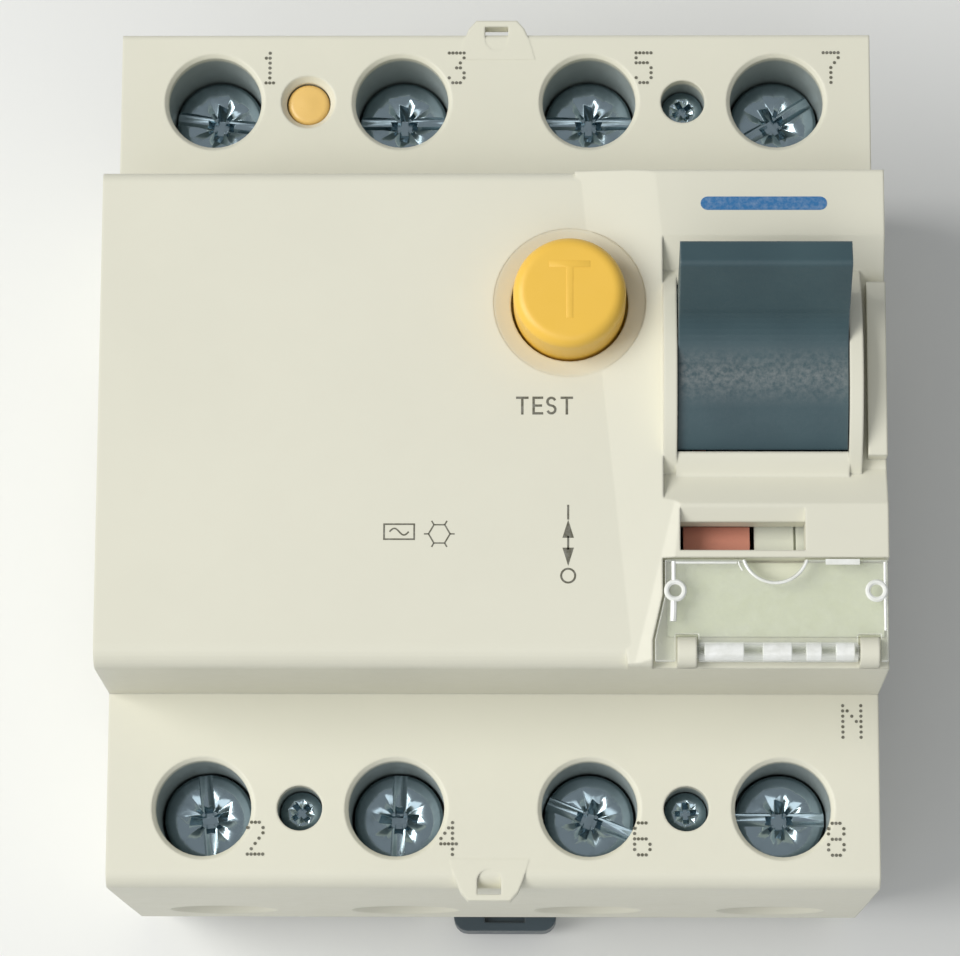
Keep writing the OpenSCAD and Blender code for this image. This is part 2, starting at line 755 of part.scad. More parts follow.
module test_contact() {
  color(copper_col) {
    block([5.9, 5, 44.4], [7.9, 11.6, 44.7]);
    block([5.9, 5, 37.6], [7.9, 5.4, 44.5]);
  }
}

module test_resistor() {
  color([0.75, 0.66, 0.50]) {
    rod_y([-18, 40], 1.9, -4, 6);
    rod_y([-18, 40], 0.4, -7, 9);
  }
}

// ---------------------------------------------------------------- rail clip

module rail_clip() {
  color([0.10, 0.11, 0.12]) difference() {
    union() {
      along_x(clip_x[0], clip_x[1]) polygon([
        [-37, -0.4], [-37, -3.4], [-19.2, -3.4], [-15.9, -2.6], [-15.9, -1.4], [-17.8, -1.4], [-17.8, -0.4]
      ]);
      translate([clip_mid, 0, -3.4]) linear_extrude(3) polygon(concat(
        [[-5.1, -36]], arc([-3.7, -37.85], 1.4, 180, 270, 5),
        arc([3.7, -37.85], 1.4, 270, 360, 5), [[5.1, -36]]
      ));
    }
    block([clip_mid - 2.2, -36.2, -4], [clip_mid + 2.2, -22, 0]);
    block([clip_mid - 2, -38.4, -1.2], [clip_mid + 2, -37.4, 0]);
  }
}

module rail_clip_spring() {
  color(steel_col) translate([clip_mid, -34, -1.9]) rotate([-90, 0, 0]) coil(1.1, 0.3, 11.9, 8);
}

// ---------------------------------------------------------------- screw terminals

// Angle of each head's slot as the screws were last left, line row then load row
slot_angle = [-8, 0, 0, 32, 96, 88, -22, 0];

function terminal_place(n) = [poles[floor((n - 1) / 2)], n % 2 == 1 ? line_y : -load_y];
function terminal_slot(n) = slot_angle[floor((n - 1) / 2) + (n % 2 == 1 ? 0 : 4)];

module terminal_screw(n) {
  c = terminal_place(n);
  color(steel_col) translate([c[0], c[1], 0]) rotate([0, 0, terminal_slot(n)]) difference() {
    union() {
      translate([0, 0, 22.8]) cylinder(r = 2.5, h = 12);
      translate([0, 0, 22.4]) cylinder(r1 = 2.1, r2 = 2.5, h = 0.4 + eps);
      translate([0, 0, 34]) cylinder(d = head_d, h = 2.2);
      translate([0, 0, 36.2]) cylinder(r1 = head_d / 2, r2 = head_d / 2 - 0.5, h = 0.5);
    }
    block([-5, -0.6, 35.5], [5, 0.6, 38]);
    for (a = [45, 135]) rotate([0, 0, a]) block([-2.3, -0.55, 35], [2.3, 0.55, 38]);
  }
}

module terminal_cage(n) {
  c = terminal_place(n);
  side = c[1] > 0 ? 1 : -1;
  mid_y = side * 32.6;
  color(steel_col) difference() {
    block([c[0] - 6, mid_y - 4, 10], [c[0] + 6, mid_y + 4, 25.2]);
    block([c[0] - 4.8, mid_y - 5, 11.5], [c[0] + 4.8, mid_y + 5, 23]);
    translate([c[0], c[1], 20]) cylinder(r = 2.56, h = 8);
  }
}

base_housing();
front_cover();
housing_screws();
seal_plug();
label_card();
label_flap();
toggle();
toggle_pin();
toggle_spring();
mechanism_plate_left();
mechanism_plate_right();
mechanism_spacers();
link_plate();
contact_carrier();
moving_contacts();
contact_springs();
flexible_braids();
line_bars();
fixed_contacts();
load_bars();
primary_conductors();
sensor_case();
sensor_winding();
sensor_core();
inner_chassis();
relay_case();
relay_coil();
relay_plunger();
trip_bar();
position_flag();
position_flag_off_cap();
test_button();
test_button_spring();
test_contact();
test_resistor();
rail_clip();
rail_clip_spring();
for (n = [1:8]) terminal_screw(n);
for (n = [1:8]) terminal_cage(n);
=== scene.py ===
"""Looks of the four-pole residual current device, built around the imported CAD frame.

Sizes are in millimetres where a name or a comment says so, and MM turns them into metres.
X runs to the right seen from the front, Y towards the line terminals, Z out of the front face.
"""

import json
import math

import bmesh
import bpy
from mathutils import Matrix, Vector


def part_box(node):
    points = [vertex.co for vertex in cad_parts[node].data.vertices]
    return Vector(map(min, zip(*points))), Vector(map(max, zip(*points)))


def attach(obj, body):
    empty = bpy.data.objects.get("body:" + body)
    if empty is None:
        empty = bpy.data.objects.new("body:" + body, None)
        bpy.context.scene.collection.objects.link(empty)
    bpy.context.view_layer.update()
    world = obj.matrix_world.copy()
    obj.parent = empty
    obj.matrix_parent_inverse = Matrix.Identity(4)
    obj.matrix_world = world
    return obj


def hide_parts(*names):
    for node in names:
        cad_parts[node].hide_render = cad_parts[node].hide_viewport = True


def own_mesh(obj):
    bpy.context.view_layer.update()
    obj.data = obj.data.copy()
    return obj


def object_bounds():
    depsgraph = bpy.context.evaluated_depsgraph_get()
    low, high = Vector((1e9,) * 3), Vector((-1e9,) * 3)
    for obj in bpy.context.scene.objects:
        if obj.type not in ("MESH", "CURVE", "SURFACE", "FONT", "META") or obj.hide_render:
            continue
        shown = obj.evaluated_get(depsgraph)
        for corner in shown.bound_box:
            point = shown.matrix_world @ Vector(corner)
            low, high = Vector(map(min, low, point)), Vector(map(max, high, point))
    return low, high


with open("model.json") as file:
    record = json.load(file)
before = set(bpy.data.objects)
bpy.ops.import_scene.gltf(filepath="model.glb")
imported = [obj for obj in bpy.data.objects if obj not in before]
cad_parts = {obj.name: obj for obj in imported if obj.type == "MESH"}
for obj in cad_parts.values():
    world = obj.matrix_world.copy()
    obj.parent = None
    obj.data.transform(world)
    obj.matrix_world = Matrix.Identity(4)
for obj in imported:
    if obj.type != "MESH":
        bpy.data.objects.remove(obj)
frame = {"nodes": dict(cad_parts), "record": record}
cad_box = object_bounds()

MM = 0.001
scene = bpy.context.scene


# ---------------------------------------------------------------- places taken from the frame


def node_box(name):
    """Lowest and highest corner of a CAD node, in millimetres."""
    low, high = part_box(name)
    return low / MM, high / MM


def node_middle(name):
    low, high = node_box(name)
    return (low + high) / 2


# Heights of the cover's printed surfaces over the rail seat
FACE_Z = 60.0
LEFT_FIELD_Z = 59.3
SHOULDER_Z = 44.0
TAB_RISE = 0.02
BUTTON = node_middle("test_button")


# ---------------------------------------------------------------- material helpers


class Shader:
    """Short calls for one material's node tree."""

    def __init__(self, name):
        self.material = bpy.data.materials.new(name)
        self.material.use_nodes = True
        self.tree = self.material.node_tree
        self.tree.nodes.clear()
        self.coords = self.node("TexCoord").outputs["Object"]

    def node(self, kind, **settings):
        made = self.tree.nodes.new("ShaderNode" + kind)
        for key, value in settings.items():
            setattr(made, key, value)
        return made

    def link(self, source, target):
        self.tree.links.new(source, target)

    def feed(self, socket, value):
        if isinstance(value, bpy.types.NodeSocket):
            self.link(value, socket)
        else:
            socket.default_value = value

    def noise(self, scale, detail=2.0, roughness=0.5, stretch=None):
        """Noise in 0..1 with its scale in features per metre."""
        made = self.node("TexNoise")
        made.inputs["Scale"].default_value = scale
        made.inputs["Detail"].default_value = detail
        made.inputs["Roughness"].default_value = roughness
        source = self.coords
        if stretch:
            mapping = self.node("Mapping")
            mapping.inputs["Scale"].default_value = stretch
            self.link(self.coords, mapping.inputs["Vector"])
            source = mapping.outputs["Vector"]
        self.link(source, made.inputs["Vector"])
        return made.outputs["Fac"]

    def remap(self, value, low, high, to_low, to_high):
        made = self.node("MapRange")
        self.link(value, made.inputs["Value"])
        ends = (("From Min", low), ("From Max", high), ("To Min", to_low), ("To Max", to_high))
        for key, number in ends:
            made.inputs[key].default_value = number
        return made.outputs["Result"]

    def math(self, operation, a, b=0.0):
        made = self.node("Math", operation=operation)
        self.feed(made.inputs[0], a)
        self.feed(made.inputs[1], b)
        return made.outputs["Value"]

    def mix(self, factor, a, b):
        """Colour mix; each of a and b is a socket or an (r, g, b) triple."""
        made = self.node("Mix", data_type="RGBA")
        self.feed(made.inputs["Factor"], factor)
        for socket, value in ((made.inputs[6], a), (made.inputs[7], b)):
            if not isinstance(value, bpy.types.NodeSocket):
                value = (*value, 1.0)
            self.feed(socket, value)
        return made.outputs[2]

    def rounded(self, radius_mm):
        """Shading normal with its edges softened over a radius."""
        made = self.node("Bevel", samples=4)
        made.inputs["Radius"].default_value = radius_mm * MM
        return made.outputs["Normal"]

    def edge_mask(self, rounded, low=0.02, high=0.25):
        """1 along edges, 0 on flat faces, from how far the softened normal leans."""
        geometry = self.node("NewGeometry")
        dot = self.node("VectorMath", operation="DOT_PRODUCT")
        self.link(rounded, dot.inputs[0])
        self.link(geometry.outputs["Normal"], dot.inputs[1])
        lean = self.math("SUBTRACT", 1.0, dot.outputs["Value"])
        return self.remap(lean, low, high, 0.0, 1.0)

    def bump(self, height, distance_mm, strength, normal=None):
        made = self.node("Bump")
        made.inputs["Strength"].default_value = strength
        made.inputs["Distance"].default_value = distance_mm * MM
        self.link(height, made.inputs["Height"])
        if normal is not None:
            self.link(normal, made.inputs["Normal"])
        return made.outputs["Normal"]

    def surface(self, **inputs):
        """Ends the tree in a Principled shader; keys are its input names with _ for a space."""
        shader = self.node("BsdfPrincipled")
        for key, value in inputs.items():
            socket = shader.inputs[key.replace("_", " ")]
            if isinstance(value, tuple) and len(value) == 3 and len(socket.default_value) == 4:
                value = (*value, 1.0)
            self.feed(socket, value)
        self.link(shader.outputs["BSDF"], self.output())
        return self.material

    def output(self):
        return self.node("OutputMaterial").inputs["Surface"]


# Blue-grey painted shade for low in the screw-well walls
WELL_SHADE_GREY = (0.22, 0.28, 0.30)


def well_mask(s):
    """Strong on the screw-well walls below their rims, where painted shade darkens them blue-grey."""
    split = s.node("SeparateXYZ")
    s.link(s.coords, split.inputs[0])
    across = s.math("ABSOLUTE", split.outputs["X"])
    along = s.math("ABSOLUTE", split.outputs["Y"])
    deep = s.remap(split.outputs["Z"], 43.2 * MM, 42.6 * MM, 0, 0.8)
    off_ends = s.math("LESS_THAN", across, 31.5 * MM)
    off_sides = s.math("LESS_THAN", along, 38.4 * MM)
    inside = s.math("MULTIPLY", off_ends, off_sides)
    beyond = s.math("GREATER_THAN", along, 28.2 * MM)
    return s.math("MULTIPLY", deep, s.math("MULTIPLY", inside, beyond))


def moulded(name, colour, roughness=0.42, grain=0.25, edge_mm=0.25, tint=0.03, gloss=0.5,
            edge_gain=0.06, shade_wells=False):
    """Injection-moulded plastic: fine grain, slight flow mottling, edges worn a little paler."""
    s = Shader(name)
    flow = s.noise(55, 3, 0.6)
    fine = s.noise(2600, 2, 0.6)
    speck = s.noise(700, 3, 0.7)
    darker = tuple(c * (1 - tint) for c in colour)
    paler = tuple(min(1.0, c * (1 + tint)) for c in colour)
    base = s.mix(s.remap(flow, 0.35, 0.65, 0, 1), darker, paler)
    base = s.mix(s.remap(speck, 0.62, 0.8, 0, 0.25), base, darker)
    rounded = s.rounded(edge_mm)
    edge = s.edge_mask(rounded)
    worn = tuple(min(1.0, c + (1 - c) * edge_gain) for c in colour)
    base = s.mix(s.math("MULTIPLY", edge, s.remap(speck, 0.3, 0.7, 0.3, 1)), base, worn)
    # Painted shade: darker blue-grey low in the screw-well walls
    if shade_wells:
        base = s.mix(well_mask(s), base, WELL_SHADE_GREY)
    mottled = s.remap(speck, 0.3, 0.7, roughness - 0.05, roughness + 0.06)
    rough = s.math("ADD", mottled, s.math("MULTIPLY", edge, -0.08))
    normal = s.bump(fine, 0.02, grain, rounded)
    return s.surface(Base_Color=base, Roughness=rough, Normal=normal,
                     Specular_IOR_Level=gloss, IOR=1.5)


def plated(name, colour, roughness=0.2, grain=0.15, edge_mm=0.08, stain=(0.35, 0.36, 0.36),
           stretch=None):
    """Plated or bare metal: fine scratches, faint stains, edges worn bright."""
    s = Shader(name)
    stains = s.noise(420, 4, 0.65)
    lines = s.noise(3200, 2, 0.5, stretch or (1, 1, 0.15))
    rounded = s.rounded(edge_mm)
    edge = s.edge_mask(rounded)
    base = s.mix(s.remap(stains, 0.5, 0.75, 0, 0.45), colour, stain)
    base = s.mix(edge, base, tuple(min(1.0, c * 1.15) for c in colour))
    rough = s.remap(stains, 0.3, 0.7, roughness - 0.06, roughness + 0.1)
    normal = s.bump(lines, 0.012, grain, rounded)
    return s.surface(Base_Color=base, Roughness=rough, Metallic=1.0, Normal=normal)


def toggle_plastic():
    """Dark lever plastic, rougher, with painted highlights: a pale speckled band along the drum's crest
    and paler edges.
    """
    s = Shader("toggle_satin_plastic")
    fine = s.noise(3400, 3, 0.75)
    speck = s.noise(2100, 3, 0.7)
    flow = s.noise(80, 3, 0.6)
    base = s.mix(s.remap(flow, 0.35, 0.65, 0, 1), (0.034, 0.070, 0.084), (0.046, 0.090, 0.104))
    split = s.node("SeparateXYZ")
    s.link(s.coords, split.inputs[0])
    # Painted highlight: a pale speckled band where the drum's crest faces the light
    crest_y = node_middle("toggle_pin").y - 1.2
    across = s.math("SUBTRACT", split.outputs["Y"], crest_y * MM)
    crest_highlight_band = s.remap(s.math("ABSOLUTE", across), 0.2 * MM, 2.8 * MM, 1, 0)
    painted_crest_highlight = s.math("MULTIPLY", crest_highlight_band, s.remap(speck, 0.34, 0.66, 0.15, 1))
    base = s.mix(s.math("MULTIPLY", painted_crest_highlight, 0.52), base, (0.27, 0.285, 0.28))
    rounded = s.rounded(0.2)
    edge = s.edge_mask(rounded)
    # Paler edges: a painted highlight along the lever's edges
    base = s.mix(s.math("MULTIPLY", edge, 0.7), base, (0.24, 0.30, 0.33))
    rough = s.remap(speck, 0.3, 0.7, 0.38, 0.55)
    normal = s.bump(fine, 0.03, 0.55, rounded)
    return s.surface(Base_Color=base, Roughness=rough, Normal=normal, Specular_IOR_Level=0.55)


def clear_plastic():
    """Clear polycarbonate: see-through on its broad faces with a faint haze, and whiter where faces lean
    away from Z, a painted highlight for light caught in cut edges and ribs.
    """
    s = Shader("clear_polycarbonate")
    rounded = s.rounded(0.12)
    split = s.node("SeparateXYZ")
    s.link(rounded, split.inputs[0])
    flat = s.math("POWER", s.math("ABSOLUTE", split.outputs["Z"]), 6.0)
    haze = s.noise(900, 3, 0.6)
    # More of the white gloss on faces that lean away from Z: a painted highlight on cut edges, over a
    # faint haze
    haze_and_edge_highlight = s.remap(flat, 0, 1, 0.62, 0.10)
    haze_and_edge_highlight = s.math("ADD", haze_and_edge_highlight, s.remap(haze, 0.35, 0.75, -0.02, 0.05))
    gloss = s.node("BsdfPrincipled")
    gloss.inputs["Base Color"].default_value = (0.93, 0.94, 0.90, 1)
    gloss.inputs["IOR"].default_value = 1.58
    s.link(s.remap(haze, 0.3, 0.7, 0.08, 0.18), gloss.inputs["Roughness"])
    s.link(s.bump(haze, 0.01, 0.25, rounded), gloss.inputs["Normal"])
    see_through = s.node("BsdfTransparent")
    see_through.inputs["Color"].default_value = (0.97, 0.98, 0.955, 1)
    mixed = s.node("MixShader")
    s.link(haze_and_edge_highlight, mixed.inputs[0])
    s.link(see_through.outputs[0], mixed.inputs[1])
    s.link(gloss.outputs[0], mixed.inputs[2])
    s.link(mixed.outputs[0], s.output())
    return s.material


def milky_plastic():
    """Thick or ribbed spots of the clear flap, near-white and mostly opaque: a painted highlight for the
    light they gather.
    """
    s = Shader("clear_polycarbonate_ribs")
    haze = s.noise(700, 3, 0.6, stretch=(1, 1, 1))
    base = s.mix(s.remap(haze, 0.35, 0.65, 0, 1), (0.90, 0.91, 0.86), (0.97, 0.98, 0.95))
    shader = s.node("BsdfPrincipled")
    s.link(base, shader.inputs["Base Color"])
    s.link(s.remap(haze, 0.3, 0.7, 0.08, 0.2), shader.inputs["Roughness"])
    shader.inputs["IOR"].default_value = 1.58
    see_through = s.node("BsdfTransparent")
    mixed = s.node("MixShader")
    s.link(s.remap(haze, 0.3, 0.7, 0.82, 0.95), mixed.inputs[0])
    s.link(see_through.outputs[0], mixed.inputs[1])
    s.link(shader.outputs[0], mixed.inputs[2])
    s.link(mixed.outputs[0], s.output())
    return s.material


def ink(name, colour):
    """Printed ink, a little uneven and matt."""
    s = Shader(name)
    patch = s.noise(2200, 2, 0.7)
    paler = tuple(c + (0.75 - c) * 0.25 for c in colour)
    base = s.mix(s.remap(patch, 0.4, 0.75, 0, 0.7), colour, paler)
    rough = s.remap(patch, 0.3, 0.7, 0.5, 0.7)
    return s.surface(Base_Color=base, Roughness=rough, Normal=s.bump(patch, 0.01, 0.2))


def wound(name, colour, pitch_mm, axis):
    """Wound or stranded wire: ridges across an axis, lacquered copper or plain."""
    s = Shader(name)
    wave = s.node("TexWave", wave_type="BANDS", bands_direction=axis)
    wave.inputs["Scale"].default_value = 2 * math.pi / (20 * pitch_mm * MM)
    wave.inputs["Distortion"].default_value = 0.3
    s.link(s.coords, wave.inputs["Vector"])
    stains = s.noise(600, 3, 0.6)
    base = s.mix(wave.outputs["Fac"], tuple(c * 0.45 for c in colour), colour)
    normal = s.bump(wave.outputs["Fac"], pitch_mm * 0.4, 0.8)
    rough = s.remap(stains, 0.3, 0.7, 0.22, 0.38)
    return s.surface(Base_Color=base, Roughness=rough, Metallic=0.9, Normal=normal)


IVORY = (0.735, 0.72, 0.600)
AMBER = (0.86, 0.53, 0.075)
HOUSING = moulded("housing_plastic", IVORY, 0.46, grain=0.22, edge_mm=0.3, tint=0.012)
COVER = moulded("cover_plastic", IVORY, 0.46, grain=0.22, edge_mm=0.3, tint=0.012, shade_wells=True)
LETTER = moulded("button_letter_plastic", AMBER, 0.40, grain=0.2, edge_mm=0.03, edge_gain=0.0)
YELLOW = moulded("button_yellow_plastic", AMBER, 0.40, grain=0.2)
PLUG = moulded("plug_yellow_plastic", (0.84, 0.55, 0.17), 0.32, grain=0.15, tint=0.04, gloss=0.6)
CARD = moulded("label_card_stock", (0.69, 0.70, 0.56), 0.7, grain=0.5, edge_mm=0.05, tint=0.02,
               gloss=0.3)
CHASSIS = moulded("chassis_plastic", (0.035, 0.038, 0.044), 0.5, tint=0.1)
CARRIER = moulded("carrier_thermoset", (0.05, 0.048, 0.048), 0.55, grain=0.5, tint=0.15)
RELAY = moulded("relay_plastic", (0.02, 0.045, 0.06), 0.35, tint=0.1)
SENSOR = moulded("sensor_plastic", (0.02, 0.022, 0.028), 0.45, tint=0.1)
FLAG_RED = moulded("flag_red_plastic", (0.66, 0.27, 0.19), 0.5, grain=0.5, edge_mm=0.1, tint=0.12)
FLAG_GREEN = moulded("flag_green_plastic", (0.03, 0.20, 0.07), 0.5, grain=0.3, edge_mm=0.1, tint=0.06)
FLAG_WHITE = moulded("flag_pale_plastic", (0.84, 0.86, 0.74), 0.5, grain=0.3, edge_mm=0.1, tint=0.05)
CLIP = moulded("clip_black_plastic", (0.045, 0.068, 0.085), 0.38, grain=0.3, tint=0.15, edge_gain=0.12)
LACQUER = moulded("resistor_lacquer", (0.42, 0.32, 0.17), 0.25, grain=0.1, tint=0.08)
TOGGLE = toggle_plastic()
CLEAR = clear_plastic()
WHITE_HIGHLIGHT_PLASTIC = milky_plastic()
ZINC = plated("screw_bright_zinc", (0.42, 0.53, 0.58), 0.15, grain=0.25, stain=(0.20, 0.26, 0.29))
CAGE = plated("cage_zinc_steel", (0.55, 0.57, 0.58), 0.33, grain=0.3, stain=(0.30, 0.30, 0.29))
SHEET = plated("stamped_steel", (0.58, 0.59, 0.60), 0.30, grain=0.3, stretch=(1, 0.1, 1))
WIRE = plated("spring_steel_wire", (0.45, 0.46, 0.47), 0.25, grain=0.2)
COPPER = plated("bare_copper", (0.80, 0.42, 0.26), 0.28, grain=0.25, stain=(0.45, 0.22, 0.14))
SILVER = plated("silver_contact", (0.80, 0.79, 0.76), 0.25, grain=0.2, stain=(0.5, 0.47, 0.42))
CORE = plated("tape_wound_core", (0.35, 0.35, 0.36), 0.4, grain=0.4, stretch=(0.1, 1, 1))
WINDING = wound("sensor_winding_wire", (0.72, 0.36, 0.16), 0.35, "Y")
COIL = wound("relay_coil_wire", (0.70, 0.34, 0.15), 0.2, "X")
BRAID = wound("copper_braid", (0.75, 0.42, 0.28), 0.25, "DIAGONAL")
DARK_INK = ink("dark_marking_ink", (0.115, 0.11, 0.075))
BLUE_INK = ink("blue_panel_ink", (0.025, 0.16, 0.38))

SLOT_MATERIALS = {
    "housing": HOUSING,
    "toggle_plastic": TOGGLE,
    "button_plastic": YELLOW,
    "plug_plastic": PLUG,
    "clear_plastic": CLEAR,
    "card": CARD,
    "screw_zinc": ZINC,
    "cage_steel": CAGE,
    "plate_steel": SHEET,
    "spring_steel": WIRE,
    "copper": COPPER,
    "contact_silver": SILVER,
    "chassis_plastic": CHASSIS,
    "carrier_plastic": CARRIER,
    "relay_plastic": RELAY,
    "sensor_plastic": SENSOR,
    "core_metal": CORE,
    "flag_red": FLAG_RED,
    "flag_green": FLAG_GREEN,
    "flag_white": FLAG_WHITE,
    "clip_plastic": CLIP,
    "resistor_body": LACQUER,
}
NODE_MATERIALS = {
    "front_cover": COVER,
    "sensor_winding": WINDING,
    "relay_coil": COIL,
    "flexible_braids": BRAID,
}
NODE_SLOTS = {row["node"]: row["material_slot"] for row in frame["record"]["subparts"]}


def dress_nodes():
    for name, node in frame["nodes"].items():
        material = NODE_MATERIALS.get(name) or SLOT_MATERIALS[NODE_SLOTS[name]]
        if not node.material_slots:
            node.data.materials.append(material)
        for held in node.material_slots:
            held.material = material


dress_nodes()


# ---------------------------------------------------------------- mesh helpers


def mark_sharp(mesh, limit_deg=32):
    """Smooth shading everywhere but across edges sharper than the limit."""
    bm = bmesh.new()
    bm.from_mesh(mesh)
    limit = math.radians(limit_deg)
    for face in bm.faces:
        face.smooth = True
    for edge in bm.edges:
        edge.smooth = len(edge.link_faces) == 2 and edge.calc_face_angle(0) < limit
    bm.to_mesh(mesh)
    bm.free()


def add_piece(name, bm, body, material, replaces=(), bevel_mm=0.0, segments=2):
    """Turns mesh data in millimetres into a piece that rides on a body."""
    bmesh.ops.scale(bm, vec=(MM, MM, MM), verts=bm.verts)
    bmesh.ops.recalc_face_normals(bm, faces=bm.faces)
    mesh = bpy.data.meshes.new(name)
    bm.to_mesh(mesh)
    bm.free()
    piece = bpy.data.objects.new(name, mesh)
    scene.collection.objects.link(piece)
    mesh.materials.append(material)
    if bevel_mm:
        round_off = piece.modifiers.new("round_off", "BEVEL")
        round_off.width = bevel_mm * MM
        round_off.segments = segments
        round_off.limit_method = "ANGLE"
        round_off.angle_limit = math.radians(35)
        settle(piece)
    mark_sharp(piece.data)
    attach(piece, body)
    if replaces:
        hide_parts(*replaces)
    return piece


def settle(piece):
    """Applies a piece's modifiers to its mesh."""
    graph = bpy.context.evaluated_depsgraph_get()
    final = bpy.data.meshes.new_from_object(piece.evaluated_get(graph))
    piece.modifiers.clear()
    piece.data = final


def prism(bm, outline, z0, z1):
    """Closed slab over an outline of (x, y) points."""
    low = [bm.verts.new((x, y, z0)) for x, y in outline]
    high = [bm.verts.new((x, y, z1)) for x, y in outline]
    bm.faces.new(low[::-1])
    bm.faces.new(high)
    for i in range(len(outline)):
        j = (i + 1) % len(outline)
        bm.faces.new((low[i], low[j], high[j], high[i]))


def arc(x, y, radius, start, end, steps=10):
    """Points (x, y) along an arc, its angles in degrees."""
    angles = [math.radians(start + (end - start) * i / steps) for i in range(steps + 1)]
    return [(x + radius * math.cos(a), y + radius * math.sin(a)) for a in angles]


def lathe(bm, profile, centre, axis="Z", steps=48):
    """Turns a profile of (radius, station) points that starts and ends on the axis."""
    rings = []
    for radius, station in profile:
        if radius < 1e-6:
            rings.append([bm.verts.new(turned(centre, axis, 0, 0, station))])
            continue
        ring = []
        for i in range(steps):
            a = 2 * math.pi * i / steps
            place = turned(centre, axis, radius * math.cos(a), radius * math.sin(a), station)
            ring.append(bm.verts.new(place))
        rings.append(ring)
    for a, b in zip(rings, rings[1:]):
        for i in range(steps):
            j = (i + 1) % steps
            if len(a) == 1:
                bm.faces.new((a[0], b[j], b[i]))
            elif len(b) == 1:
                bm.faces.new((a[i], a[j], b[0]))
            else:
                bm.faces.new((a[i], a[j], b[j], b[i]))


def turned(centre, axis, u, v, along):
    """Point at (u, v) across and some way along an axis through a centre."""
    x, y, z = centre
    if axis == "X":
        return (x + along, y + u, z + v)
    if axis == "Y":
        return (x + v, y + along, z + u)
    return (x + u, y + v, z + along)


def tube(bm, points, radius, sides=12):
    """Closed round tube along points; its ends are capped."""
    points = [Vector(p) for p in points]
    side = Vector((0, 0, 1))
    first = (points[1] - points[0]).normalized()
    if abs(first.dot(side)) > 0.9:
        side = Vector((1, 0, 0))
    rings = []
    for i, p in enumerate(points):
        ahead = points[min(i + 1, len(points) - 1)] - points[max(i - 1, 0)]
        ahead.normalize()
        side = (side - ahead * side.dot(ahead)).normalized()
        up = ahead.cross(side)
        angles = [2 * math.pi * k / sides for k in range(sides)]
        rings.append([bm.verts.new(p + radius * (side * math.cos(a) + up * math.sin(a))) for a in angles])
    for a, b in zip(rings, rings[1:]):
        for k in range(sides):
            bm.faces.new((a[k], a[(k + 1) % sides], b[(k + 1) % sides], b[k]))
    bm.faces.new(rings[0][::-1])
    bm.faces.new(rings[-1])


# ---------------------------------------------------------------- markings

# Half the thickness of a layer of ink
INK_MM = 0.025
# Characters as seven rows of five dots, read from the top left
DOTS = {
    "1": "00100011000010000100001000010001110",
    "2": "01110100010000100010001000100011111",
    "3": "11111000010001000110000011000101110",
    "4": "00010001100101010010111110001000010",
    "5": "11111100001111000001000011000101110",
    "6": "01110100001000011110100011000101110",
    "7": "11111000010001000100001000010000100",
    "8": "01110100011000101110100011000101110",
    "N": "10001110011010110011100011000110001",
}


def ribbon(bm, points, width, z0, closed=False):
    """Flat stroke of ink along points, with mitred corners."""
    points = [Vector(p) for p in points]
    count = len(points)
    left, right = [], []
    for i, p in enumerate(points):
        before = points[i - 1] if i or closed else None
        after = points[(i + 1) % count] if i < count - 1 or closed else None
        sides = [(a, b) for a, b in ((before, p), (p, after)) if a is not None and b is not None]
        ways = [(b - a).normalized() for a, b in sides]
        normals = [Vector((-w.y, w.x)) for w in ways]
        mitre = sum(normals, Vector((0, 0))).normalized()
        reach = width / 2 / max(0.4, mitre.dot(normals[0]))
        left.append(p + mitre * reach)
        right.append(p - mitre * reach)
    spans = count if closed else count - 1
    for i in range(spans):
        j = (i + 1) % count
        quad = [left[i], right[i], right[j], left[j]]
        prism(bm, [tuple(q) for q in quad], z0 - INK_MM, z0 + INK_MM)


def dot_text(bm, text, x, y, z, height, slimness=0.72, gap=0.9):
    """Ink-jet characters of round dots, seven rows by five columns, centred on (x, y)."""
    pitch = height / 6
    advance = 4 * pitch * slimness + gap
    left = x - (len(text) * advance - gap) / 2
    for index, character in enumerate(text):
        for place, bit in enumerate(DOTS[character].rjust(35, "0")):
            if bit == "1":
                across = left + index * advance + (place % 5) * pitch * slimness
                up = y + height / 2 - (place // 5) * pitch
                prism(bm, arc(across, up, pitch * 0.31, 0, 330, 11), z - INK_MM, z + INK_MM)


def terminal_marks():
    """Number beside each screw well, and N beside the neutral pole on the load side."""
    bm = bmesh.new()
    height = 2.9
    for n in range(1, 9):
        middle = node_middle(f"terminal_screw_{n}")
        right, up = (5.1, 3.3) if n % 2 else (4.75, -2.75)
        dot_text(bm, str(n), middle.x + right, middle.y + up, SHOULDER_Z + TAB_RISE, height)
    neutral_x = node_middle("terminal_screw_8").x
    dot_text(bm, "N", neutral_x + 6.3, -25.0, SHOULDER_Z, height, slimness=0.85)
    add_piece("terminal_number_marks", bm, "base", DARK_INK)


def test_word():
    """The word TEST under the button, in plain strokes."""
    bm = bmesh.new()
    low, high, stroke = 0.1, 1.73, 0.21
    half = stroke / 2
    top, foot, mid = high - half, low + half, (low + high) / 2
    t_lefts, e_left, s_middle = (2.15, 6.1), 3.6, 5.28
    for x in t_lefts:
        ribbon(bm, [(x, top), (x + 1.1, top)], stroke, LEFT_FIELD_Z)
        ribbon(bm, [(x + 0.55, high - stroke), (x + 0.55, low)], stroke, LEFT_FIELD_Z)
    ribbon(bm, [(e_left + half, high), (e_left + half, low)], stroke, LEFT_FIELD_Z)
    for y, reach in ((top, 0.95), (mid, 0.85), (foot, 0.95)):
        ribbon(bm, [(e_left + stroke, y), (e_left + reach, y)], stroke, LEFT_FIELD_Z)
    r = (high - low - stroke) / 4
    bowls = arc(s_middle, mid + r, r, 20, 270, 9) + arc(s_middle, mid - r, r, 90, -160, 9)[1:]
    ribbon(bm, bowls, stroke, LEFT_FIELD_Z)
    add_piece("test_field_word", bm, "base", DARK_INK)


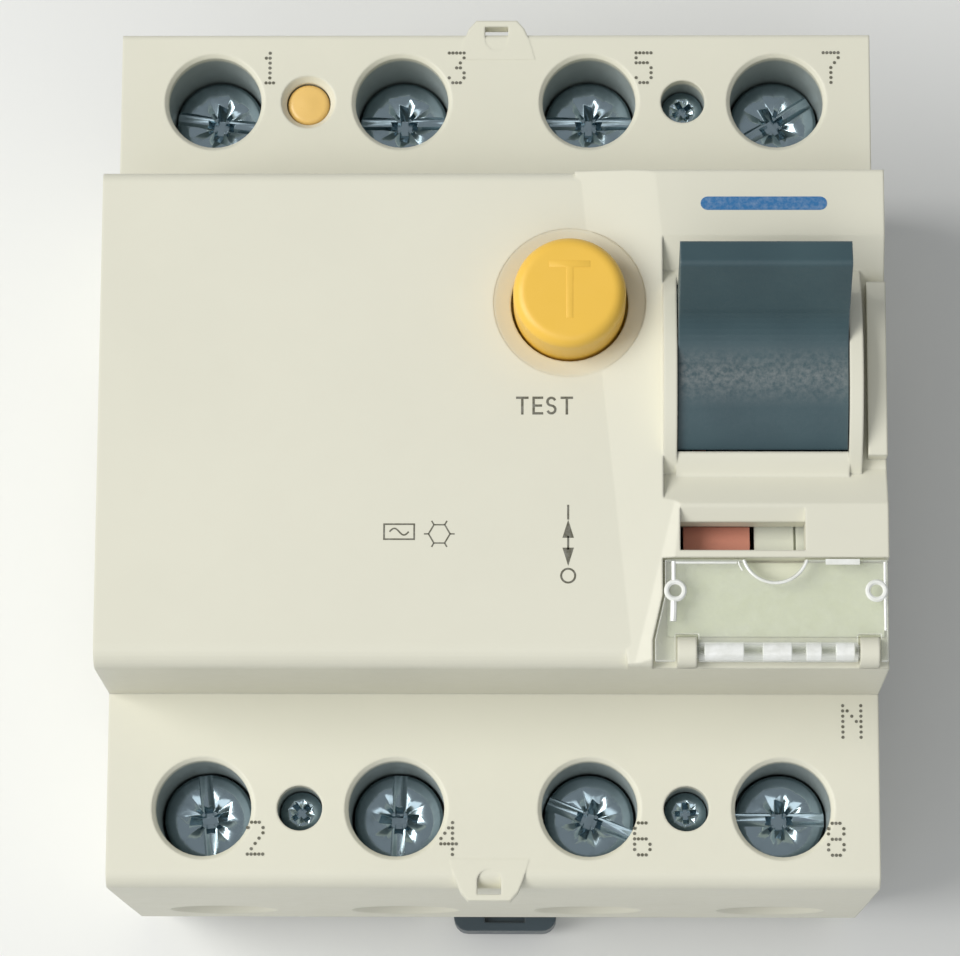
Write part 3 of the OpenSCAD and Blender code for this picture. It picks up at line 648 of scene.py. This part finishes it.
def position_symbol():
    """Bar for on, ring for off, and a two-headed arrow between them."""
    bm = bmesh.new()
    x, stroke = BUTTON.x - 0.13, 0.17
    ribbon(bm, [(x, -8.07), (x, -9.40)], stroke, LEFT_FIELD_Z)
    ribbon(bm, [(x, -10.9), (x, -12.1)], stroke, LEFT_FIELD_Z)
    up_head = [(x - 0.5, -11.04), (x + 0.5, -11.04), (x, -9.42)]
    down_head = [(x - 0.5, -11.93), (x, -13.55), (x + 0.5, -11.93)]
    for outline in (up_head, down_head):
        prism(bm, outline, LEFT_FIELD_Z - INK_MM, LEFT_FIELD_Z + INK_MM)
    ribbon(bm, arc(x, -14.44, 0.62, 0, 345, 23), stroke, LEFT_FIELD_Z, closed=True)
    add_piece("on_off_symbol", bm, "base", DARK_INK)


def current_form_symbol():
    """Sine wave in a box, the standard sign for alternating residual current."""
    bm = bmesh.new()
    x0, x1, y0, y1 = -9.48, -6.82, -11.18, -9.83
    ribbon(bm, [(x0, y0), (x1, y0), (x1, y1), (x0, y1)], 0.14, LEFT_FIELD_Z, closed=True)
    middle, reach, swing = (x0 + x1) / 2, 0.85, 0.3
    wave = []
    for i in range(17):
        t = i / 16
        across = middle - reach + 2 * reach * t
        wave.append((across, (y0 + y1) / 2 + swing * math.sin(2 * math.pi * t)))
    ribbon(bm, wave, 0.13, LEFT_FIELD_Z)
    add_piece("current_form_symbol", bm, "base", DARK_INK)


def frost_symbol():
    """Hexagonal outline with short spurs, the sign for use in the cold."""
    bm = bmesh.new()
    x, y, radius, stroke, spur = -4.6, -10.7, 0.95, 0.12, 1.42
    ribbon(bm, arc(x, y, radius, 0, 300, 5), stroke, LEFT_FIELD_Z, closed=True)
    for turn in range(0, 360, 60):
        a = math.radians(turn)
        start = (x + radius * math.cos(a), y + radius * math.sin(a))
        end = (x + spur * radius * math.cos(a), y + spur * radius * math.sin(a))
        ribbon(bm, [start, end], stroke, LEFT_FIELD_Z)
    add_piece("cold_use_symbol", bm, "base", DARK_INK)


def plain_bar():
    """A plain blue bar where a maker's panel would be."""
    bm = bmesh.new()
    x0, x1, y, half = 18.6, 29.9, 19.3, 0.62
    outline = arc(x1 - half, y, half, -90, 90, 8) + arc(x0 + half, y, half, 90, 270, 8)
    prism(bm, outline, FACE_Z - INK_MM, FACE_Z + INK_MM)
    add_piece("plain_blue_bar", bm, "base", BLUE_INK)


terminal_marks()
test_word()
position_symbol()
current_form_symbol()
frost_symbol()
plain_bar()


# ---------------------------------------------------------------- test button letter


def button_letter():
    """Raised T on the button's crown."""
    bm = bmesh.new()
    x, crown = BUTTON.x, node_box("test_button")[1].z
    bar_y, foot_y = BUTTON.y + 2.4, BUTTON.y - 2.5
    half_bar, half, relief = 1.8, 0.3, 0.024
    outline = [(x - half_bar, bar_y + half), (x - half_bar, bar_y - half), (x - half, bar_y - half)]
    outline += [(x - half, foot_y), (x + half, foot_y)]
    outline += [(x + half, bar_y - half), (x + half_bar, bar_y - half), (x + half_bar, bar_y + half)]
    prism(bm, outline[::-1], crown - 0.1, crown + relief)
    add_piece("test_button_letter", bm, "test_button", LETTER, bevel_mm=0.025)


button_letter()


# ---------------------------------------------------------------- terminal screws

# Which way the slot of each terminal screw was left, in degrees
SLOT_TURNS_DEG = {1: -8, 2: 96, 3: 0, 4: 88, 5: 0, 6: -22, 7: 32, 8: 0}


def solid(name, bm):
    """Loose object from mesh data in millimetres, to be cut or to cut with."""
    bmesh.ops.recalc_face_normals(bm, faces=bm.faces)
    mesh = bpy.data.meshes.new(name)
    bm.to_mesh(mesh)
    bm.free()
    made = bpy.data.objects.new(name, mesh)
    scene.collection.objects.link(made)
    return made


def cut(piece, build, **sizes):
    """Subtracts the shape that a mesh function makes with these sizes."""
    bm = bmesh.new()
    build(bm, **sizes)
    tool = solid("cutting_tool", bm)
    step = piece.modifiers.new("cut", "BOOLEAN")
    step.operation = "DIFFERENCE"
    step.solver = "EXACT"
    step.object = tool
    settle(piece)
    bpy.data.objects.remove(tool)


def taper(bm, half_long, half_wide, top, bottom, narrow, turn_deg):
    """Bar-shaped recess that narrows towards its bottom."""
    rotation = Matrix.Rotation(math.radians(turn_deg), 3, "Z")
    rings = []
    for z, k in ((top, 1.0), (bottom, narrow)):
        x, y = half_long * k, half_wide * (1 + k) / 2
        corners = [Vector(c) for c in ((-x, -y, z), (x, -y, z), (x, y, z), (-x, y, z))]
        rings.append([bm.verts.new(rotation @ corner) for corner in corners])
    bm.faces.new(rings[0])
    bm.faces.new(rings[1][::-1])
    for i in range(4):
        j = (i + 1) % 4
        bm.faces.new((rings[0][i], rings[1][i], rings[1][j], rings[0][j]))


def vee(bm, half_long, half_wide, top, bottom, turn_deg):
    """Shallow roof-shaped groove, its ridge down."""
    rotation = Matrix.Rotation(math.radians(turn_deg), 3, "Z")
    mouth = top + 1.3
    section = [(-half_wide, mouth), (-half_wide, top), (0, bottom), (half_wide, top), (half_wide, mouth)]
    ends = []
    for x in (-half_long, half_long):
        ends.append([bm.verts.new(rotation @ Vector((x, y, z))) for y, z in section])
    bm.faces.new(ends[0])
    bm.faces.new(ends[1][::-1])
    for i in range(5):
        j = (i + 1) % 5
        bm.faces.new((ends[0][i], ends[1][i], ends[1][j], ends[0][j]))


def faceted_dish(bm, radius, top, depth, points=8):
    """Star-shaped hollow around a driver recess, its facets at easy slopes."""
    rim = []
    for i in range(2 * points):
        r = radius * (1.0 if i % 2 else 0.72)
        a = math.pi * (i + 0.5) / points
        rim.append((r * math.cos(a), r * math.sin(a)))
    lid = [bm.verts.new((x, y, top + 0.3)) for x, y in rim]
    edge = [bm.verts.new((x, y, top + 0.02)) for x, y in rim]
    apex = bm.verts.new((0, 0, top - depth))
    bm.faces.new(lid)
    for i in range(len(rim)):
        j = (i + 1) % len(rim)
        bm.faces.new((lid[i], edge[i], edge[j], lid[j]))
        bm.faces.new((edge[i], apex, edge[j]))


def screw_mesh():
    """One terminal screw around the Z axis: crowned head, driver recess, helical thread."""
    low, high = node_box("terminal_screw_1")
    top, foot = high.z, low.z
    head_r = (high.x - low.x) / 2
    under = top - 2.7
    neck_r = 2.0
    bm = bmesh.new()
    profile = [(0, top)]
    profile += [(head_r - 0.9, top), (head_r - 0.35, top - 0.12), (head_r - 0.08, top - 0.4)]
    profile += [(head_r, top - 0.75), (head_r, under + 0.2), (head_r - 0.2, under)]
    profile += [(neck_r, under), (neck_r, under + 0.6), (0, under + 0.6)]
    lathe(bm, profile, (0, 0, 0), steps=96)
    head = solid("screw_head_master", bm)
    cut(head, faceted_dish, radius=2.75, top=top, depth=0.85)
    cut(head, vee, half_long=5, half_wide=0.62, top=top - 0.75, bottom=top - 1.0, turn_deg=0)
    # The two bars of the cross start and end at their own heights, so that no faces coincide
    for turn, raised, deep in ((90, 0.2, 1.75), (0, 0.19, 1.74)):
        cut(head, taper, half_long=2.0, half_wide=0.48, top=top + raised, bottom=top - deep,
            narrow=0.35, turn_deg=turn)
    for turn in (45, 135):
        cut(head, taper, half_long=1.75, half_wide=0.22, top=top + 0.21, bottom=top - 1.0,
            narrow=0.5, turn_deg=turn)
    round_off = head.modifiers.new("round_off", "BEVEL")
    round_off.width = 0.07
    round_off.segments = 2
    round_off.limit_method = "ANGLE"
    round_off.angle_limit = math.radians(40)
    settle(head)
    bm = bmesh.new()
    bm.from_mesh(head.data)
    bpy.data.objects.remove(head)
    thread(bm, core_r=2.06, crest_r=2.5, pitch=0.8, z0=foot + 0.4, z1=under + 0.7, foot=foot)
    mesh = bpy.data.meshes.new("terminal_screw_shape")
    bmesh.ops.scale(bm, vec=(MM, MM, MM), verts=bm.verts)
    bm.to_mesh(mesh)
    bm.free()
    mark_sharp(mesh, 28)
    return mesh


def thread(bm, core_r, crest_r, pitch, z0, z1, foot, tip_r=1.6):
    """Shank with a true helical ridge, closed by a cone at its foot."""
    sides, per_turn = 40, 10
    around = [2 * math.pi * k / sides for k in range(sides)]
    rows = int((z1 - z0) / pitch * per_turn)
    rings = []
    for row in range(rows + 1):
        z = z0 + (z1 - z0) * row / rows
        fade = min(1.0, (z - z0) / (0.9 * pitch), (z1 - z) / (0.9 * pitch))
        ring = []
        for k, a in enumerate(around):
            phase = (z / pitch - k / sides) % 1.0
            ridge = max(0.0, 1 - abs(phase - 0.5) / 0.4)
            r = core_r + (crest_r - core_r) * min(1.0, ridge * 1.25) * max(0.0, fade)
            ring.append(bm.verts.new((r * math.cos(a), r * math.sin(a), z)))
        rings.append(ring)
    tip = [bm.verts.new((tip_r * math.cos(a), tip_r * math.sin(a), foot)) for a in around]
    rings.insert(0, tip)
    for a, b in zip(rings, rings[1:]):
        for k in range(sides):
            bm.faces.new((a[k], a[(k + 1) % sides], b[(k + 1) % sides], b[k]))
    bm.faces.new(rings[0][::-1])
    bm.faces.new(rings[-1])


def terminal_screws():
    """Eight copies of the screw, each on its own body and turned its own way."""
    shape = screw_mesh()
    shape.materials.append(ZINC)
    for n, turn in SLOT_TURNS_DEG.items():
        name = f"terminal_screw_{n}"
        middle = node_middle(name)
        piece = bpy.data.objects.new(name + "_threaded", shape.copy())
        scene.collection.objects.link(piece)
        spin = Matrix.Rotation(math.radians(turn), 4, "Z")
        piece.data.transform(Matrix.Translation((middle.x * MM, middle.y * MM, 0)) @ spin)
        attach(piece, name)
        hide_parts(name)


terminal_screws()


# ---------------------------------------------------------------- label flap


# Top and underside of the flap's plate
FLAP_TOP_Z = 59.8
FLAP_UNDER_Z = 59.0
# Middle (x, y) and radius of the thumb scoop in the flap's upper edge
SCOOP = (25.0, -12.25, 2.7)
# Ends of the hinge rod's thick middle stretch, which lies open between the two lugs
ROD_LEFT, ROD_RIGHT = 18.2, 32.2


def scoop_reach_deg():
    """How far below level the scoop's arc meets the plate's upper edge."""
    edge_y = node_box("label_flap")[1].y
    return math.degrees(math.asin((SCOOP[1] - edge_y) / SCOOP[2]))


def scoop_arc(extra, steps):
    """Arc (x, y) around the thumb scoop from right to left, a little outside its edge."""
    x, y, radius = SCOOP
    reach = scoop_reach_deg()
    return arc(x, y, radius + extra, -reach, -180 + reach, steps)


def flap_plate():
    """Clear plate with its thumb scoop and the thin foot strip along the rod."""
    low, high = node_box("label_flap")
    left, right, upper, lower = low.x + 0.9, high.x, high.y, -22.1
    lug, lug_y, rod_y = 2.0, -19.7, -20.55
    outline = [(right, upper), *scoop_arc(0, 20), (left, upper)]
    outline += [(left, -16.2), (low.x, -20.2), (low.x, lower)]
    outline += [(ROD_LEFT - lug, lower), (ROD_LEFT - lug, lug_y), (ROD_LEFT, lug_y), (ROD_LEFT, rod_y)]
    outline += [(ROD_RIGHT, rod_y), (ROD_RIGHT, lug_y), (ROD_RIGHT + lug, lug_y)]
    outline += [(ROD_RIGHT + lug, lower), (right, lower)]
    bm = bmesh.new()
    prism(bm, outline[::-1], FLAP_UNDER_Z, FLAP_TOP_Z)
    for y0, y1, thick in ((-21.7, -20.5, 0.4), (lower, -21.6, 0.5)):
        strip = [(ROD_LEFT, y0), (ROD_RIGHT, y0), (ROD_RIGHT, y1), (ROD_LEFT, y1)]
        prism(bm, strip, FLAP_UNDER_Z, FLAP_UNDER_Z + thick)
    add_piece("flap_plate", bm, "label_flap", CLEAR, replaces=["label_flap"],
              bevel_mm=0.1)


def flap_ribs():
    """Raised rings, rims and ribs on the plate, white as a painted highlight."""
    low, high = node_box("label_flap")
    top, left, right, upper = FLAP_TOP_Z, low.x + 0.9, high.x, high.y
    bm = bmesh.new()
    ring = [(0.55, top - 0.02), (0.55, top + 0.12), (0.7, top + 0.24), (0.86, top + 0.24)]
    ring += [(1.0, top + 0.1), (1.0, top - 0.02), (0.55, top - 0.02)]
    for x in (16.2, 33.85):
        lathe(bm, ring, (x, -15.86, 0), steps=32)
    tube(bm, [(x, y, top + 0.02) for x, y in scoop_arc(0.22, 24)], 0.13, 8)
    outer = arc(SCOOP[0], SCOOP[1], SCOOP[2] + 0.72, -180 + scoop_reach_deg(), -148, 8)
    tube(bm, [(x, y, top + 0.02) for x, y in outer], 0.07, 8)
    ribs = (
        ((left + 0.75, upper - 0.3), (21.6, upper - 0.3), 0.11),
        ((left + 0.75, -14.9), (left + 0.75, upper - 0.2), 0.2),
        ((left + 0.7, -18.6), (left + 0.75, -16.8), 0.3),
        ((right - 0.25, -19.4), (right - 0.25, upper - 0.25), 0.13),
    )
    for start, end, radius in ribs:
        tube(bm, [(*start, top), (*end, top)], radius, 8)
    nose = [(29.4, -13.55), (32.4, -13.55), (32.4, -13.05), (29.4, -13.05)]
    prism(bm, nose, top - 0.03, top + 0.2)
    add_piece("flap_ribs_and_eyelets", bm, "label_flap", WHITE_HIGHLIGHT_PLASTIC)


def flap_rod():
    """Hinge rod with thin ends in the lugs, and white sleeves along it that are painted highlights."""
    hinge = (0, -21.2, 59.2)
    left, right, thin, thick = ROD_LEFT - 1.0, ROD_RIGHT + 1.0, 0.6, 0.85
    rod = [(0, left), (0.45, left), (thin, left + 0.15), (thin, ROD_LEFT), (thick, ROD_LEFT)]
    rod += [(thick, ROD_RIGHT), (thin, ROD_RIGHT), (thin, right - 0.15), (0.45, right), (0, right)]
    bm = bmesh.new()
    lathe(bm, rod, hinge, axis="X", steps=32)
    add_piece("flap_hinge_rod", bm, "label_flap", CLEAR)

    bm = bmesh.new()
    # White sleeves over stretches of the clear rod: painted highlights, not parts
    for start, end in ((18.7, 22.2), (23.8, 26.4), (27.6, 29.0), (30.2, 31.9)):
        highlight_sleeve = [(0, start), (0.8, start), (0.87, start + 0.08)]
        highlight_sleeve += [(0.87, end - 0.08), (0.8, end), (0, end)]
        lathe(bm, highlight_sleeve, hinge, axis="X", steps=32)
    add_piece("flap_rod_highlight_sleeves", bm, "label_flap", WHITE_HIGHLIGHT_PLASTIC)


flap_plate()
flap_ribs()
flap_rod()


# ---------------------------------------------------------------- springs


def helix(x, y, z, radius, length, turns, axis="Z", closed_turns=0.6, steps=28):
    """Points along a compression spring with its end turns closed up."""
    points = []
    total = turns + 2 * closed_turns
    count = int(total * steps)
    wire_rise = 0.10 * length
    for i in range(count + 1):
        t = i / count * total
        if t < closed_turns:
            rise = wire_rise * t / closed_turns
        elif t > turns + closed_turns:
            rise = length - wire_rise * (total - t) / closed_turns
        else:
            rise = wire_rise + (length - 2 * wire_rise) * (t - closed_turns) / turns
        a = 2 * math.pi * t
        place = turned((x, y, z), axis, radius * math.cos(a), radius * math.sin(a), rise)
        points.append(Vector(place))
    return points


def spring(name, replaced, centre, radius, wire, length, turns, axis):
    """Coil of drawn wire, its end turns closed."""
    bm = bmesh.new()
    along = {"X": Vector((1, 0, 0)), "Y": Vector((0, 1, 0)), "Z": Vector((0, 0, 1))}[axis]
    start = Vector(centre) + wire * along
    tube(bm, helix(*start, radius, length - 2 * wire, turns, axis), wire, 10)
    return add_piece(name, bm, "base", WIRE, replaces=[replaced])


def springs():
    """The three coils; the button's and the clip's coils each get their own copy of their mesh."""
    drum = node_middle("toggle_pin")
    low, high = node_box("toggle_spring")
    spring("toggle_spring_coil", "toggle_spring", (low.x, drum.y, drum.z), radius=2.5, wire=0.45,
           length=high.x - low.x, turns=3, axis="X")

    low, high = node_box("test_button_spring")
    length = high.z - low.z
    foot = Vector((BUTTON.x, BUTTON.y, low.z))
    coil = spring("test_button_coil", "test_button_spring", foot, radius=2.4, wire=0.35,
                  length=length, turns=3, axis="Z")
    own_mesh(coil)

    low, high = node_box("rail_clip_spring")
    middle = node_middle("rail_clip_spring")
    length = high.y - low.y
    foot = Vector((middle.x, low.y, middle.z))
    coil = spring("rail_clip_coil", "rail_clip_spring", foot, radius=1.1, wire=0.3,
                  length=length, turns=7, axis="Y")
    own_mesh(coil)


springs()


# ---------------------------------------------------------------- small housing screws


def housing_screws():
    """Four cross-head screws that hold the cover to the base."""
    low, high = node_box("housing_screws")
    head_r, top, under = 1.92, high.z, high.z - 1.7
    profile = [(0, top), (1.2, top - 0.02), (1.6, top - 0.16), (head_r, top - 0.5)]
    profile += [(head_r, under + 0.1), (head_r - 0.1, under)]
    profile += [(0.75, under), (0.75, under + 0.4), (0, under + 0.4)]
    bm = bmesh.new()
    lathe(bm, profile, (0, 0, 0), steps=64)
    head = solid("small_head_master", bm)
    cut(head, faceted_dish, radius=1.35, top=top, depth=0.5)
    for turn, raised, deep in ((40, 0.3, 1.1), (130, 0.29, 1.09)):
        cut(head, taper, half_long=1.15, half_wide=0.28, top=top + raised, bottom=top - deep,
            narrow=0.4, turn_deg=turn)
    bm = bmesh.new()
    bm.from_mesh(head.data)
    bpy.data.objects.remove(head)
    thread(bm, core_r=0.74, crest_r=0.98, pitch=0.9, z0=low.z + 0.3, z1=under + 0.3,
           foot=low.z, tip_r=0.35)
    one = bpy.data.meshes.new("small_screw_master")
    bm.to_mesh(one)
    bm.free()
    left, right = low.x + head_r, high.x - head_r
    load, line = low.y + head_r, high.y - head_r
    bm = bmesh.new()
    for index, (x, y) in enumerate(((left, load), (left, line), (right, load), (right, line))):
        before = len(bm.verts)
        bm.from_mesh(one)
        bm.verts.ensure_lookup_table()
        spin = Matrix.Translation((x, y, 0)) @ Matrix.Rotation(math.radians(27 * index), 4, "Z")
        bmesh.ops.transform(bm, matrix=spin, verts=bm.verts[before:])
    bpy.data.meshes.remove(one)
    add_piece("housing_screws_threaded", bm, "base", ZINC, replaces=["housing_screws"])


housing_screws()


# ---------------------------------------------------------------- floor, light and camera


def floor():
    """Pale table top under the feet."""
    low = cad_box[0]
    s = Shader("pale_table")
    mottle = s.noise(6, 3, 0.6)
    fine = s.noise(1200, 2, 0.6)
    base = s.mix(s.remap(mottle, 0.35, 0.65, 0, 1), (0.79, 0.795, 0.78), (0.81, 0.815, 0.80))
    material = s.surface(Base_Color=base, Roughness=0.55, Normal=s.bump(fine, 0.03, 0.1))
    half_side = 1.6
    bm = bmesh.new()
    corners = []
    for sx, sy in ((-1, -1), (1, -1), (1, 1), (-1, 1)):
        corners.append(bm.verts.new((sx * half_side, sy * half_side, low[2])))
    bm.faces.new(corners)
    mesh = bpy.data.meshes.new("table_top")
    bm.to_mesh(mesh)
    bm.free()
    table = bpy.data.objects.new("table_top", mesh)
    scene.collection.objects.link(table)
    mesh.materials.append(material)


def area_light(name, place, target, width, height, power, colour):
    """Rectangular lamp at a place in metres, facing a target."""
    data = bpy.data.lights.new(name, "AREA")
    data.shape = "RECTANGLE"
    data.size = width
    data.size_y = height
    data.energy = power
    data.color = colour
    lamp = bpy.data.objects.new(name, data)
    scene.collection.objects.link(lamp)
    lamp.location = place
    lamp.rotation_euler = (Vector(target) - Vector(place)).to_track_quat("-Z", "Y").to_euler()


def studio():
    """A large soft window light from the left, a weak fill from the load side, and a dim room."""
    middle = (0, 0, 0.04)
    area_light("window_light", (-1.17, -0.02, 1.31), middle, width=1.2, height=1.0, power=26,
               colour=(1.0, 0.99, 0.96))
    area_light("room_fill", (-0.1, -0.55, 0.9), middle, width=0.8, height=0.6, power=1.7,
               colour=(0.97, 0.98, 1.0))
    world = bpy.data.worlds.new("room")
    world.use_nodes = True
    sky = world.node_tree.nodes["Background"]
    sky.inputs["Color"].default_value = (0.93, 0.96, 1.0, 1)
    sky.inputs["Strength"].default_value = 0.34
    scene.world = world


def camera():
    """Looks down at the face, from a little towards the load side."""
    data = bpy.data.cameras.new("camera")
    data.sensor_width = 36
    data.lens = 171.7
    data.clip_start = 0.01
    view = bpy.data.objects.new("camera", data)
    scene.collection.objects.link(view)
    # Axis of the turn from the object's axes to the camera's, as long as its angle in radians
    turn = Vector((-0.2071, -0.0171, -0.0024))
    to_camera = Matrix.Rotation(turn.length, 3, turn.normalized())
    view.location = (0.005957, -0.088939, 0.455673)
    view.rotation_mode = "QUATERNION"
    view.rotation_quaternion = to_camera.transposed().to_quaternion()
    scene.camera = view


floor()
studio()
camera()
scene.view_settings.view_transform = "Standard"
